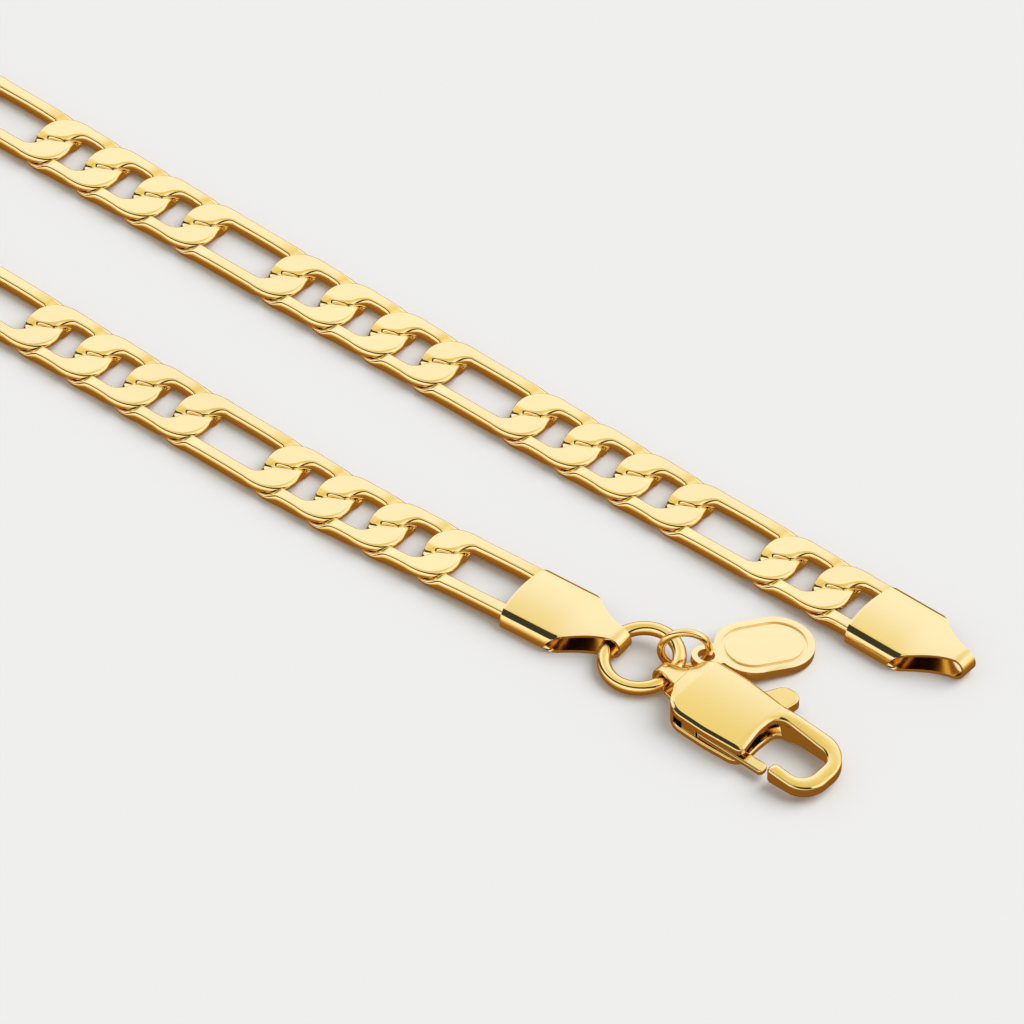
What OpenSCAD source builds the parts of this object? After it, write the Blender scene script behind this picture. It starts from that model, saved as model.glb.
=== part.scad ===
// Figaro chain necklace with its end caps, jump rings, oval tag and lobster clasp, laid flat.
// Millimetres. X runs along the two visible strands, both ends lie at +X, Z is up and z = 0 is the table.
// The loop closes at -X. Each link is a bent, pressed wire with its own flats.

/* [Chain] */
// groups of three short links and one long link
groups = 22; // [16:1:26]
// short link, from joint to joint
short_pitch = 4.35; // [4.3:0.05:4.8]
// long link, from joint to joint
long_pitch = 7.7; // [7:0.1:9]
// link, outside width
link_width = 5.0; // [4.9:0.05:5.2]
// thickness of the pressed chain
chain_thickness = 1.0; // [1:0.02:1.06]
// wire, width seen from above on the straight sides
wire_width = 1.16; // [1.1:0.02:1.2]
// play between the wires of two links that hook together
link_play = 0.24; // [0.2:0.02:0.3]
// gap between the halves of two links that lie over each other
layer_gap = 0.12; // [0.11:0.01:0.16]
// reach of a link's round end along the chain
end_reach = 2.1; // [2:0.05:2.15]

/* [Lay] */
// between the centre lines of the two strands
strand_spacing = 14; // [12:0.5:20]
// radius of the bends that close the loop
loop_radius = 45; // [42:1:55]
// how far the free end joint lies ahead of the clasp end joint
end_lead = 17.7; // [15:0.1:20]
// angle by which the clasp end leans towards the other strand
lean_angle = 4; // [0:0.5:5]
// length of the leaning stretch
lean_run = 13; // [12:0.5:16]
// length over which each end of the chain climbs into its cap
rise_run = 16.4; // [14:0.2:20]

/* [End caps] */
// cap, from its mouth to the chain joint
cap_mouth = 1.6; // [1.4:0.1:1.8]
// cap, from the chain joint to the shoulder
cap_shoulder = 1.9; // [1.8:0.1:2.2]
// cap, from the chain joint to the outer end of the fold
cap_tip = 6.6; // [6.3:0.1:7.2]
// cap, widest
cap_width = 5.5; // [5.5:0.05:5.8]
// cap, width of the fold
cap_tip_width = 1.3; // [1.1:0.1:1.5]
// cap, bulge of its mouth over the chain
cap_bulge = 0.3; // [0.1:0.05:0.4]
// cap, outside height of the fold
fold_height = 1.68; // [1.67:0.01:1.72]
// sheet that the cap is folded from
cap_sheet = 0.2; // [0.18:0.01:0.21]
// clearance between the chain and the cap, above and below
cap_clearance = 0.06; // [0.05:0.01:0.1]

/* [Rings] */
// large jump ring, outside diameter
ring_diameter = 5.7; // [5.6:0.05:6]
// large jump ring, wire
ring_wire = 0.9; // [0.8:0.02:0.92]
// slope of the large ring, its far side up
ring_slope = 9; // [8:0.5:9.5]
// small jump ring, outside diameter
small_ring_diameter = 3.56; // [3.5:0.02:3.7]
// small jump ring, wire
small_ring_wire = 0.5; // [0.44:0.02:0.52]
// clearance between a ring and the fold that holds it
ring_clearance = 0.08; // [0.06:0.01:0.12]

/* [Tag] */
// tag, length without its eyelet
tag_length = 6.6; // [6.2:0.1:7]
// tag, width
tag_width = 4.8; // [4.4:0.1:5]
// tag, thickness
tag_thickness = 0.6; // [0.5:0.05:0.7]
// from the middle of the tag to the middle of its eyelet
eyelet_reach = 3.95; // [3.8:0.05:4.2]
// eyelet, outside radius
eyelet_radius = 0.95; // [0.9:0.05:1.1]
// eyelet, hole radius
eyelet_hole = 0.55; // [0.5:0.05:0.6]
// groove round the face, from the edge
groove_inset = 0.5; // [0.4:0.05:0.7]
// groove, width
groove_width = 0.22; // [0.15:0.01:0.3]
// groove, depth
groove_depth = 0.12; // [0.08:0.01:0.2]

/* [Clasp] */
// clasp body, width
body_width = 5.0; // [4.8:0.05:5.2]
// clasp, height
body_height = 2.0; // [2:0.02:2.2]
// lower plate
lower_plate = 0.4; // [0.35:0.01:0.45]
// upper plate
upper_plate = 0.6; // [0.5:0.02:0.62]
// gate, clearance to each plate
gate_clearance = 0.1; // [0.08:0.01:0.15]
// hook, width of its bar
hook_bar = 0.86; // [0.8:0.02:0.95]
// tail strap, width at the fold
strap_width = 0.95; // [0.9:0.05:1.2]
// tail strap, sheet
strap_sheet = 0.26; // [0.22:0.01:0.28]
// hinge pin, radius
pin_radius = 0.45; // [0.4:0.01:0.5]
// gate bore, running clearance on the radius
pin_clearance = 0.04; // [0.02:0.01:0.08]
// gate, width of its arm
arm_width = 0.85; // [0.75:0.05:0.95]
// thumb piece of the gate, radius
ear_radius = 0.8; // [0.7:0.05:0.85]

/* [Hidden] */
$fn = 48;
gold = [0.93, 0.76, 0.36];
pale_gold = [0.97, 0.84, 0.5];
cut = 1;

// sizes that follow from the driving ones
half_t = chain_thickness / 2;
half_wire = wire_width / 2;
link_count = 4 * groups + 3;
chain_length = long_start(link_count);
cap_height = chain_thickness + 2 * cap_clearance + 2 * cap_sheet;
cap_lift = cap_height / 2 - half_t;
ring_radius = (ring_diameter - ring_wire) / 2;
small_ring_radius = (small_ring_diameter - small_ring_wire) / 2;

// The route of the chain: stretches of length and turn, left turns positive, from the free end round
// the loop to the clasp end. The loop leaves each strand outwards and comes back round on one arc.
strand_half = strand_spacing / 2;
flare = acos((strand_half + loop_radius) / (2 * loop_radius));
loop_length = loop_radius * (180 + 4 * flare) * PI / 180;
lean_arc = 6;
free_straight = (chain_length - loop_length + end_lead) / 2;
clasp_straight = free_straight - end_lead;
route = [
    [free_straight, 0],
    [loop_radius * flare * PI / 180, -flare],
    [loop_radius * (180 + 2 * flare) * PI / 180, 180 + 2 * flare],
    [loop_radius * flare * PI / 180, -flare],
    [clasp_straight - lean_run - lean_arc, 0],
    [lean_arc, lean_angle],
    [lean_run + cut, 0]
];

// the place [x, y, heading] reached after going a distance along one stretch
function step(p, stretch, s) =
    let (turn = stretch[1] * s / stretch[0])
    abs(turn) < 0.0001
        ? [p[0] + s * cos(p[2]), p[1] + s * sin(p[2]), p[2]]
        : let (r = s / (turn * PI / 180))
          [p[0] + r * (sin(p[2] + turn) - sin(p[2])), p[1] - r * (cos(p[2] + turn) - cos(p[2])), p[2] + turn];

function along(s, k = 0, p = [0, strand_half, 180]) =
    s <= route[k][0] || k == len(route) - 1
        ? step(p, route[k], s)
        : along(s - route[k][0], k + 1, step(p, route[k], route[k][0]));

// the links from the free end: two short, then a long and three short over and over, a long one last
function is_long(k) = k % 4 == 2;
function longs_before(k) = floor((k + 1) / 4);
function long_start(k) = longs_before(k) * long_pitch + (k - longs_before(k)) * short_pitch;
table_gap = 0.02;
function climb(s) =
    let (t = max(0, 1 - min(s, chain_length - s) / rise_run))
    table_gap + (cap_lift - table_gap) * t * t * (3 - 2 * t);
function joint(k) =
    let (s = long_start(k), p = along(s))
    [p[0], p[1], climb(s)];

free_joint = joint(0);
clasp_joint = joint(link_count);
clasp_end_heading = along(chain_length)[2];

// where the fittings lie. The large ring hangs in the cap's fold and in the clasp's tail: its middle is
// off to one side of each by ring_shift, and as far along as the corners of the fold inside it allow.
function turned(v, a) = [v[0] * cos(a) - v[1] * sin(a), v[0] * sin(a) + v[1] * cos(a)];
clasp_heading = -1.4;
tag_heading = 60;
ring_shift = 0.25;
ring_hole = ring_radius - ring_wire / 2 - ring_clearance;
function fold_reach(half_width) = sqrt(pow(ring_hole, 2) - pow(half_width + ring_shift, 2));
ring_centre = [clasp_joint[0], clasp_joint[1]]
    + turned([cap_tip - cap_sheet + fold_reach(cap_tip_width / 2 + 0.12), -ring_shift], clasp_end_heading);
tail_inside = ring_wire / 2 + ring_clearance;
clasp_origin = ring_centre + turned([tail_inside + fold_reach(strap_width / 2), -ring_shift], clasp_heading);
ring_height = 0.9;

// the whole part is moved so that the middle of its length is at x = 0
loop_end = -free_straight - 2 * loop_radius * sin(flare) - loop_radius - link_width / 2;
hook_end = 13.75;
mid_x = (loop_end + clasp_origin[0] + hook_end) / 2;
module in_place() {
    translate([-mid_x, 0, 0]) children();
}

// Sections of a quarter of a link, from its end to its straight side, raised half. Columns: turn round
// the end, half width, top and bottom half widths as shares of it, side and bottom height as shares of
// the half thickness, 1 where the bottom rests on the link below and 0 where it reaches down.
QUARTER = [
    [14, 1.00, 0.85, 0.65, 0.60, 0, 1],
    [62, 1.34, 0.90, 0.70, 0.62, 0, 1],
    [90, 1.00, 0.78, 0.60, 0.10, -0.8, 0]
];
function section(row, pitch, mirrored) =
    let (
        half_length = (pitch + wire_width + link_play) / 2,
        side_y = link_width / 2 - half_wire,
        x = half_length - end_reach + end_reach * cos(row[0]),
        y = side_y * sin(row[0]),
        nx = cos(row[0]) / end_reach,
        ny = sin(row[0]) / side_y,
        n = norm([nx, ny]),
        w = half_wire * row[1],
        low = row[6] * layer_gap / 2 + row[5] * half_t,
        up = [
            [w, row[4] * half_t], [w * row[2], half_t], [-w * row[2], half_t],
            [-w, row[4] * half_t], [-w * row[3], low], [w * row[3], low]
        ],
        ring = mirrored ? [for (i = [0, 5, 4, 3, 2, 1]) [up[i][0], -up[i][1]]] : up,
        side = mirrored ? 1 : -1
    )
    [for (q = ring) [side * (x + q[0] * nx / n), y + q[0] * ny / n, q[1]]];

function link_rings(pitch) =
    let (
        rows = len(QUARTER),
        far = concat(
            [for (i = [0 : rows - 1]) section(QUARTER[i], pitch, false)],
            [for (i = [rows - 1 : -1 : 0]) section(QUARTER[i], pitch, true)]
        )
    )
    concat(far, [for (ring = far) [for (p = ring) [-p[0], -p[1], p[2]]]]);

module link(pitch) {
    rings = link_rings(pitch);
    count = len(rings);
    sides = len(rings[0]);
    points = [for (ring = rings) for (p = ring) p];
    faces = [
        for (i = [0 : count - 1]) for (j = [0 : sides - 1])
            let (
                a = i * sides + j,
                b = ((i + 1) % count) * sides + j,
                c = ((i + 1) % count) * sides + (j + 1) % sides,
                d = i * sides + (j + 1) % sides
            )
            each [[a, b, c], [a, c, d]]
    ];
    polyhedron(points = points, faces = faces, convexity = 6);
}

// one link between its two joints, turned and sloped to reach from one to the other
module placed_link(k) {
    a = joint(k);
    b = joint(k + 1);
    d = b - a;
    translate([(a[0] + b[0]) / 2, (a[1] + b[1]) / 2, (a[2] + b[2]) / 2 + half_t])
        rotate([0, -atan2(d[2], norm([d[0], d[1]])), atan2(d[1], d[0])])
            link(is_long(k) ? long_pitch : short_pitch);
}

middle_link = floor(link_count / 2);
module chain_free_half() {
    color(gold) in_place() for (k = [0 : middle_link]) placed_link(k);
}
module chain_clasp_half() {
    color(gold) in_place() for (k = [middle_link + 1 : link_count - 1]) placed_link(k);
}

// End cap, its joint with the chain at the origin and its fold at +X: one strip of sheet, folded over
cap_steps = 10;
mouth_steps = 4;
function cap_half_width(t) =
    cap_tip_width / 2 + (cap_width - cap_tip_width) / 2 * (1 + cos(180 * t)) / 2;
function mirrored(half) = concat(half, [for (i = [len(half) - 1 : -1 : 0]) if (half[i][1] != 0) [half[i][0], -half[i][1]]]);
module cap_plan() {
    mouth = [
        for (i = [0 : mouth_steps])
            [-cap_mouth + cap_bulge * pow(i / mouth_steps, 2), cap_width / 2 * i / mouth_steps]
    ];
    taper = [
        for (i = [0 : cap_steps])
            [cap_shoulder + (cap_tip - cap_shoulder) * i / cap_steps, cap_half_width(i / cap_steps)]
    ];
    polygon(mirrored(concat(mouth, taper)));
}

// across the cap: rounded edges, a low crown that lets the fold stand a little higher
module cap_front(inset) {
    w = cap_width / 2 - inset;
    high = cap_height - inset;
    crown = ring_height + fold_height / 2 - inset;
    polygon([for (p = mirrored([
        [inset, 0], [inset, w - 0.4 + inset], [inset + 0.2, w], [high - 0.48 + inset, w],
        [high - 0.14, w - 0.2 + 0.9 * inset], [high, w - 0.5 + 1.2 * inset], [crown, w - 1.4], [crown, 0]
    ])) [p[1], p[0]]]);
}

// along the cap: level over the chain, then a little up to the round fold, whose middle is the ring's
module cap_side(inset) {
    r = fold_height / 2;
    translate([cap_tip - r, ring_height]) circle(r - inset);
    polygon([
        [-cap_mouth - cut, inset], [cap_shoulder, inset], [cap_tip - r, ring_height - r + inset],
        [cap_tip - r, ring_height + r - inset], [cap_shoulder, cap_height - inset], [-cap_mouth - cut, cap_height - inset]
    ]);
}
module cap_form(inset) {
    intersection() {
        translate([-cap_mouth - cut, 0, 0]) rotate([90, 0, 90])
            linear_extrude(cap_tip + cap_mouth + 2 * cut) cap_front(inset);
        translate([0, cap_width, 0]) rotate([90, 0, 0]) linear_extrude(2 * cap_width) cap_side(inset);
    }
}
module end_cap() {
    difference() {
        intersection() {
            cap_form(0);
            linear_extrude(2 * cap_height) cap_plan();
        }
        cap_form(cap_sheet);
    }
}
module free_end_cap() {
    color(pale_gold) in_place() translate([free_joint[0], free_joint[1], 0]) end_cap();
}
module clasp_end_cap() {
    color(pale_gold) in_place() translate([clasp_joint[0], clasp_joint[1], 0])
        rotate(clasp_end_heading) end_cap();
}

module torus(radius, wire) {
    rotate_extrude() translate([radius, 0]) circle(d = wire);
}
module large_jump_ring() {
    color(gold) in_place() translate([ring_centre[0], ring_centre[1], ring_height])
        rotate([ring_slope, 0, 0]) torus(ring_radius, ring_wire);
}

// The small ring stands upright round the wire of the large one and through the tag's eyelet.
small_ring_bearing = 36.5;
small_ring_offset = 2.72;
small_ring_heading = 40;
small_ring_height = small_ring_diameter / 2 + 0.02;
small_ring_centre = [
    ring_centre[0] + small_ring_offset * cos(small_ring_bearing),
    ring_centre[1] + small_ring_offset * sin(small_ring_bearing)
];
module small_jump_ring() {
    color(gold) in_place() translate([small_ring_centre[0], small_ring_centre[1], small_ring_height])
        rotate([90, 0, small_ring_heading]) torus(small_ring_radius, small_ring_wire);
}

// The oval tag leans on the small ring at its eyelet and lies on the table with its far end.
eyelet_along = 1.29;
eyelet_rise = 0.75;
tag_lean = asin(eyelet_rise / (eyelet_reach + tag_length / 2));
eyelet_place = [
    small_ring_centre[0] + eyelet_along * cos(small_ring_heading),
    small_ring_centre[1] + eyelet_along * sin(small_ring_heading)
];
module stadium(length, width) {
    straight = length - width;
    square([straight, width], center = true);
    for (s = [-1, 1]) translate([s * straight / 2, 0]) circle(d = width);
}
module tag_plate() {
    difference() {
        linear_extrude(tag_thickness) difference() {
            union() {
                stadium(tag_length, tag_width);
                translate([-eyelet_reach, 0]) circle(eyelet_radius);
                translate([-eyelet_reach, -eyelet_radius]) square([1, 2 * eyelet_radius]);
            }
            translate([-eyelet_reach, 0]) circle(eyelet_hole);
        }
        translate([0, 0, tag_thickness - groove_depth]) linear_extrude(groove_depth + cut) difference() {
            stadium(tag_length - 2 * groove_inset, tag_width - 2 * groove_inset);
            stadium(tag_length - 2 * (groove_inset + groove_width), tag_width - 2 * (groove_inset + groove_width));
        }
    }
}
module oval_tag() {
    color(pale_gold) in_place() translate([eyelet_place[0], eyelet_place[1], eyelet_rise])
        rotate([0, tag_lean, tag_heading]) translate([eyelet_reach, 0, 0]) tag_plate();
}

// Lobster clasp. Its local X runs from the tail to the hook, with the large ring's wire at the origin.
nose_x = 3.8;
front_x = 8;
back_wall_x = 2.6;
side_wall_x = 4.2;
hook_centre = [11.4, -0.1];
hook_radius = hook_end - hook_centre[0];
hook_inner = 1.5;
hook_inner_x = 11.1;
hook_tip_x = 10.5;
hinge = [5.6, 0.6];
strap_roof = 1.5;
strap_top = 1.8;
gate_low = lower_plate + gate_clearance;
gate_high = body_height - upper_plate - gate_clearance;
module body_plan() {
    corner = 0.5;
    circle_x = nose_x;
    translate([circle_x, 0]) circle(body_width / 2);
    translate([circle_x, -body_width / 2]) square([front_x - corner - circle_x, body_width]);
    translate([front_x - corner - cut, -body_width / 2 + corner]) square([corner + cut, body_width - corner - 0.2]);
    translate([front_x - corner, -body_width / 2 + corner]) circle(corner);
    translate([front_x - corner - cut, body_width / 2 - 1]) square([cut + corner, 0.7]);
}
// the edge that joins the body's far side to the hook, its inner side one hollow curve
module spine_plan() {
    top = hook_centre[1] + hook_radius;
    inner = hook_centre[1] + hook_inner;
    hollow = 1.6;
    difference() {
        translate([side_wall_x, inner - hollow]) square([hook_centre[0] - side_wall_x, top - inner + hollow]);
        translate([front_x + hollow, inner - hollow]) circle(hollow);
        translate([front_x + hollow, inner - hollow - cut]) square([hook_centre[0], hollow + cut]);
    }
}
// the hook's round end, open at its left, and the bar that comes back towards the gate with a round tip
module hook_plan() {
    inner_low = hook_centre[1] - hook_inner;
    tip_x = hook_tip_x + hook_bar / 2;
    difference() {
        translate(hook_centre) circle(hook_radius);
        translate([hook_inner_x, hook_centre[1]]) circle(hook_inner);
        translate([front_x, hook_centre[1] - 2 * hook_radius])
            square([hook_inner_x - front_x, 2 * hook_radius + hook_inner]);
    }
    translate([tip_x, inner_low - hook_bar]) square([hook_centre[0] - tip_x, hook_bar]);
    translate([tip_x, inner_low - hook_bar / 2]) circle(hook_bar / 2);
}
module clasp_side() {
    polygon([
        [-2, 0], [front_x, 0], [front_x + 2, 0.3], [hook_end + cut, 0.35], [hook_end + cut, 1.55],
        [hook_centre[0], 1.7], [front_x + 0.5, body_height], [2, body_height], [1, strap_top], [-2, strap_top]
    ]);
}
module strap_plan() {
    outer = ring_wire / 2 + ring_clearance + strap_sheet;
    polygon([[-outer, -strap_width / 2], [1.1, -0.75], [2, -0.75], [2, 0.75], [1.1, 0.75], [-outer, strap_width / 2]]);
}
module pin_holes() {
    translate([hinge[0], hinge[1], 0.1]) cylinder(r = pin_radius + 0.01, h = body_height - 0.28);
}
module clasp_frame_body() {
    difference() {
        intersection() {
            union() {
                linear_extrude(lower_plate) body_plan();
                translate([0, 0, body_height - upper_plate]) linear_extrude(upper_plate) body_plan();
                linear_extrude(body_height) intersection() {
                    body_plan();
                    union() {
                        translate([0, -body_width]) square([back_wall_x, 2 * body_width]);
                        translate([0, body_width / 2 - 0.8]) square([side_wall_x, body_width]);
                    }
                }
                linear_extrude(body_height) difference() {
                    union() {
                        spine_plan();
                        hook_plan();
                    }
                    translate([0, -body_width]) square([front_x + 0.35, 2 * body_width]);
                }
                for (z = [0, body_height - upper_plate])
                    translate([0, 0, z]) linear_extrude(z == 0 ? lower_plate : upper_plate) spine_plan();
                linear_extrude(strap_sheet) strap_plan();
                translate([0, 0, strap_roof]) linear_extrude(strap_top - strap_roof) strap_plan();
                linear_extrude(strap_top) intersection() {
                    strap_plan();
                    translate([-2, -2]) square([2 - ring_wire / 2 - ring_clearance, 4]);
                }
            }
            translate([0, body_width, 0]) rotate([90, 0, 0]) linear_extrude(2 * body_width) clasp_side();
        }
        pin_holes();
    }
}
module clasp_place() {
    in_place() translate([clasp_origin[0], clasp_origin[1], 0]) rotate(clasp_heading) children();
}
module clasp_body() {
    color(pale_gold) clasp_place() clasp_frame_body();
}

// the gate: a hinge boss, an arm along the open side and a thumb piece on the other
arm_end = 9.7;
arm_start = 4.9;
arm_y = -2.02;
ear_centre = [7.1, 3.35];
module gate_plan() {
    difference() {
        union() {
            translate(hinge) circle(1.45);
            translate([arm_start, arm_y]) circle(arm_width / 2);
            translate([arm_start, arm_y - arm_width / 2]) square([arm_end - arm_width / 2 - arm_start, arm_width]);
            translate([arm_end - arm_width / 2, arm_y]) circle(arm_width / 2);
            polygon([[arm_start, arm_y], [7.4, arm_y], [6.95, hinge[1]], [4.3, hinge[1]]]);
            translate(ear_centre) circle(ear_radius);
            polygon([[4.5, 1.5], [6.95, 0.3], [7.85, 3.1], [6.35, 3.55]]);
        }
        translate(hinge) circle(pin_radius + pin_clearance);
    }
}
module clasp_gate() {
    color(gold) clasp_place() translate([0, 0, gate_low]) linear_extrude(gate_high - gate_low) gate_plan();
}
module clasp_pin() {
    color(gold) clasp_place() translate([hinge[0], hinge[1], 0.12]) cylinder(r = pin_radius, h = body_height - 0.32);
}

chain_free_half();
chain_clasp_half();
free_end_cap();
clasp_end_cap();
large_jump_ring();
small_jump_ring();
oval_tag();
clasp_body();
clasp_gate();
clasp_pin();
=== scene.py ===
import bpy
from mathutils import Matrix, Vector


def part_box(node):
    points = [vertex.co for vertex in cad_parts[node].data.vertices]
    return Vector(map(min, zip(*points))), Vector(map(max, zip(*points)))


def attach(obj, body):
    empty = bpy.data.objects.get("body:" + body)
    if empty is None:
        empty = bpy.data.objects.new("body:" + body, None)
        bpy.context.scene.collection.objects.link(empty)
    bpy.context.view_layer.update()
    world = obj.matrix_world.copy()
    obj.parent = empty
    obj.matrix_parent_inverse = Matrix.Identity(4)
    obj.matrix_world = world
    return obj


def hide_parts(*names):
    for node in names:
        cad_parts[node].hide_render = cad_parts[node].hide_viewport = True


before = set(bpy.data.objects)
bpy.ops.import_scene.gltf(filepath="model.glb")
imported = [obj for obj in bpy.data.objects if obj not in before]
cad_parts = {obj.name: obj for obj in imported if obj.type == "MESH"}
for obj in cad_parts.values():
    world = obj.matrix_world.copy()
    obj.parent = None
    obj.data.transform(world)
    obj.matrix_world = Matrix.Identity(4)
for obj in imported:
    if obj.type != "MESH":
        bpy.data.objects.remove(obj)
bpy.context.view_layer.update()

import math

import bmesh
import bpy
import numpy as np
from mathutils import Vector, geometry

# Lengths are in mm and angles in degrees, unless a comment says otherwise.
MM = 0.001

# Gold plating: a metal whose tone and roughness vary a little, with a fine grain.
# Columns: colour, roughness, strength and fineness of the grain.
GOLDS = {
    "link_gold": ((1.0, 0.76, 0.40), 0.07, 0, 400),
    "ring_gold": ((0.98, 0.74, 0.38), 0.09, 0, 400),
    "cap_gold": ((0.98, 0.745, 0.385), 0.12, 0.06, 900),
    "tag_gold": ((0.97, 0.75, 0.42), 0.24, 0.1, 1500),
    "clasp_gold": ((0.97, 0.735, 0.37), 0.11, 0.05, 900),
}
TONE_SCALE = 90
TONE_DETAIL = 2
TONE_DEPTH = 0.06  # the share by which the tone darkens in places
TONE_START = 0.3
TONE_END = 0.7
GRAIN_DETAIL = 3
GRAIN_HEIGHT = 0.01
ROUGHNESS_SPREAD = 0.2


def colour_ramp(tree, stops):
    """A colour ramp node with these (position, colour) stops."""
    ramp = tree.nodes.new("ShaderNodeValToRGB")
    elements = ramp.color_ramp.elements
    while len(elements) < len(stops):
        elements.new(0.5)
    for element, (position, colour) in zip(elements, stops):
        element.position = position
        element.color = (*colour, 1)
    return ramp


def noise(tree, place, scale, detail):
    """How strong a noise is at each place of the object."""
    texture = tree.nodes.new("ShaderNodeTexNoise")
    texture.inputs["Scale"].default_value = scale
    texture.inputs["Detail"].default_value = detail
    tree.links.new(place.outputs["Object"], texture.inputs["Vector"])
    return texture.outputs["Fac"]


def gold(name, colour, roughness, grain, fineness):
    """A gold material with its row of the table."""
    look = bpy.data.materials.new(name)
    look.use_nodes = True
    tree = look.node_tree
    shader = tree.nodes["Principled BSDF"]
    shader.inputs["Metallic"].default_value = 1
    place = tree.nodes.new("ShaderNodeTexCoord")

    darker = [channel * (1 - TONE_DEPTH) for channel in colour]
    tone = colour_ramp(tree, [(TONE_START, darker), (TONE_END, colour)])
    tree.links.new(noise(tree, place, TONE_SCALE, TONE_DETAIL), tone.inputs["Fac"])
    tree.links.new(tone.outputs["Color"], shader.inputs["Base Color"])

    fine = noise(tree, place, fineness, GRAIN_DETAIL)
    rough = tree.nodes.new("ShaderNodeMapRange")
    rough.inputs["To Min"].default_value = roughness * (1 - ROUGHNESS_SPREAD)
    rough.inputs["To Max"].default_value = roughness * (1 + ROUGHNESS_SPREAD)
    tree.links.new(fine, rough.inputs["Value"])
    tree.links.new(rough.outputs["Result"], shader.inputs["Roughness"])
    if grain:
        bump = tree.nodes.new("ShaderNodeBump")
        bump.inputs["Strength"].default_value = grain
        bump.inputs["Distance"].default_value = GRAIN_HEIGHT * MM
        tree.links.new(fine, bump.inputs["Height"])
        tree.links.new(bump.outputs["Normal"], shader.inputs["Normal"])
    return look


golds = {name: gold(name, *values) for name, values in GOLDS.items()}


# Curves and meshes that several forms use
def between(x, table):
    """The value at x in a table of (x, value)."""
    return np.interp(x, *zip(*table))


def smooth_step(low, high, x):
    """0 up to low, 1 from high on, and a smooth rise between them."""
    t = min(max((x - low) / (high - low), 0), 1)
    return t * t * (3 - 2 * t)


def smooth_through(xs, ys, x):
    """The height at x of a smooth curve through the points that never overshoots them."""
    gaps = np.diff(xs)
    slopes = np.diff(ys) / gaps
    tangents = np.zeros(len(xs))
    for i in range(1, len(xs) - 1):
        before, after = slopes[i - 1], slopes[i]
        if before * after > 0:
            a = 2 * gaps[i] + gaps[i - 1]
            b = gaps[i] + 2 * gaps[i - 1]
            tangents[i] = (a + b) / (a / before + b / after)
    k = int(np.clip(np.searchsorted(xs, x, side="right") - 1, 0, len(xs) - 2))
    t = (x - xs[k]) / gaps[k]
    return (
        (1 + 2 * t) * (1 - t) ** 2 * ys[k]
        + t * (1 - t) ** 2 * gaps[k] * tangents[k]
        + t * t * (3 - 2 * t) * ys[k + 1]
        + t * t * (t - 1) * gaps[k] * tangents[k + 1]
    )


def turned(points, degrees):
    """The points turned round the Z axis."""
    c, s = math.cos(math.radians(degrees)), math.sin(math.radians(degrees))
    return np.asarray(points) @ np.array([[c, s, 0], [-s, c, 0], [0, 0, 1]])


def tube_faces(rings, sides, closed=False):
    """Quads between the rings of a tube, and from the last ring to the first if it is closed."""
    faces = []
    for i in range(rings if closed else rings - 1):
        here, there = i * sides, (i + 1) % rings * sides
        for j in range(sides):
            k = (j + 1) % sides
            faces.append((here + j, here + k, there + k, there + j))
    return faces


def joined(parts):
    """One mesh out of several, each given as points, faces and perhaps normals."""
    faces, base = [], 0
    for points, polygons, *_ in parts:
        faces += [tuple(base + i for i in polygon) for polygon in polygons]
        base += len(points)
    points, _, *normals = zip(*parts)
    return np.vstack(points), faces, *(np.vstack(directions) for directions in normals)


def new_object(name, points, faces, look):
    """A smooth object of these points in metres, with its faces turned outwards."""
    mesh = bpy.data.meshes.new(name)
    mesh.from_pydata([tuple(point) for point in points], [], faces)
    mesh.update()
    bm = bmesh.new()
    bm.from_mesh(mesh)
    bmesh.ops.recalc_face_normals(bm, faces=bm.faces)
    bm.to_mesh(mesh)
    bm.free()
    mesh.shade_smooth()
    mesh.materials.append(look)
    obj = bpy.data.objects.new(name, mesh)
    bpy.context.scene.collection.objects.link(obj)
    return obj


# Chain links, in the solids' own sizes
LINK_WIDTH = 5.0
WIRE_WIDTH = 1.16
LINK_PLAY = 0.24  # between the wires of two links
END_REACH = 2.1  # from the straight sides to the middle line of the end's wire
SHORT_PITCH = 4.35
LONG_PITCH = 7.7
FLAT_WEIGHT = 60  # how much more the large faces count in the normals
SAME_POINT = 1e-7  # metres

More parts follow.
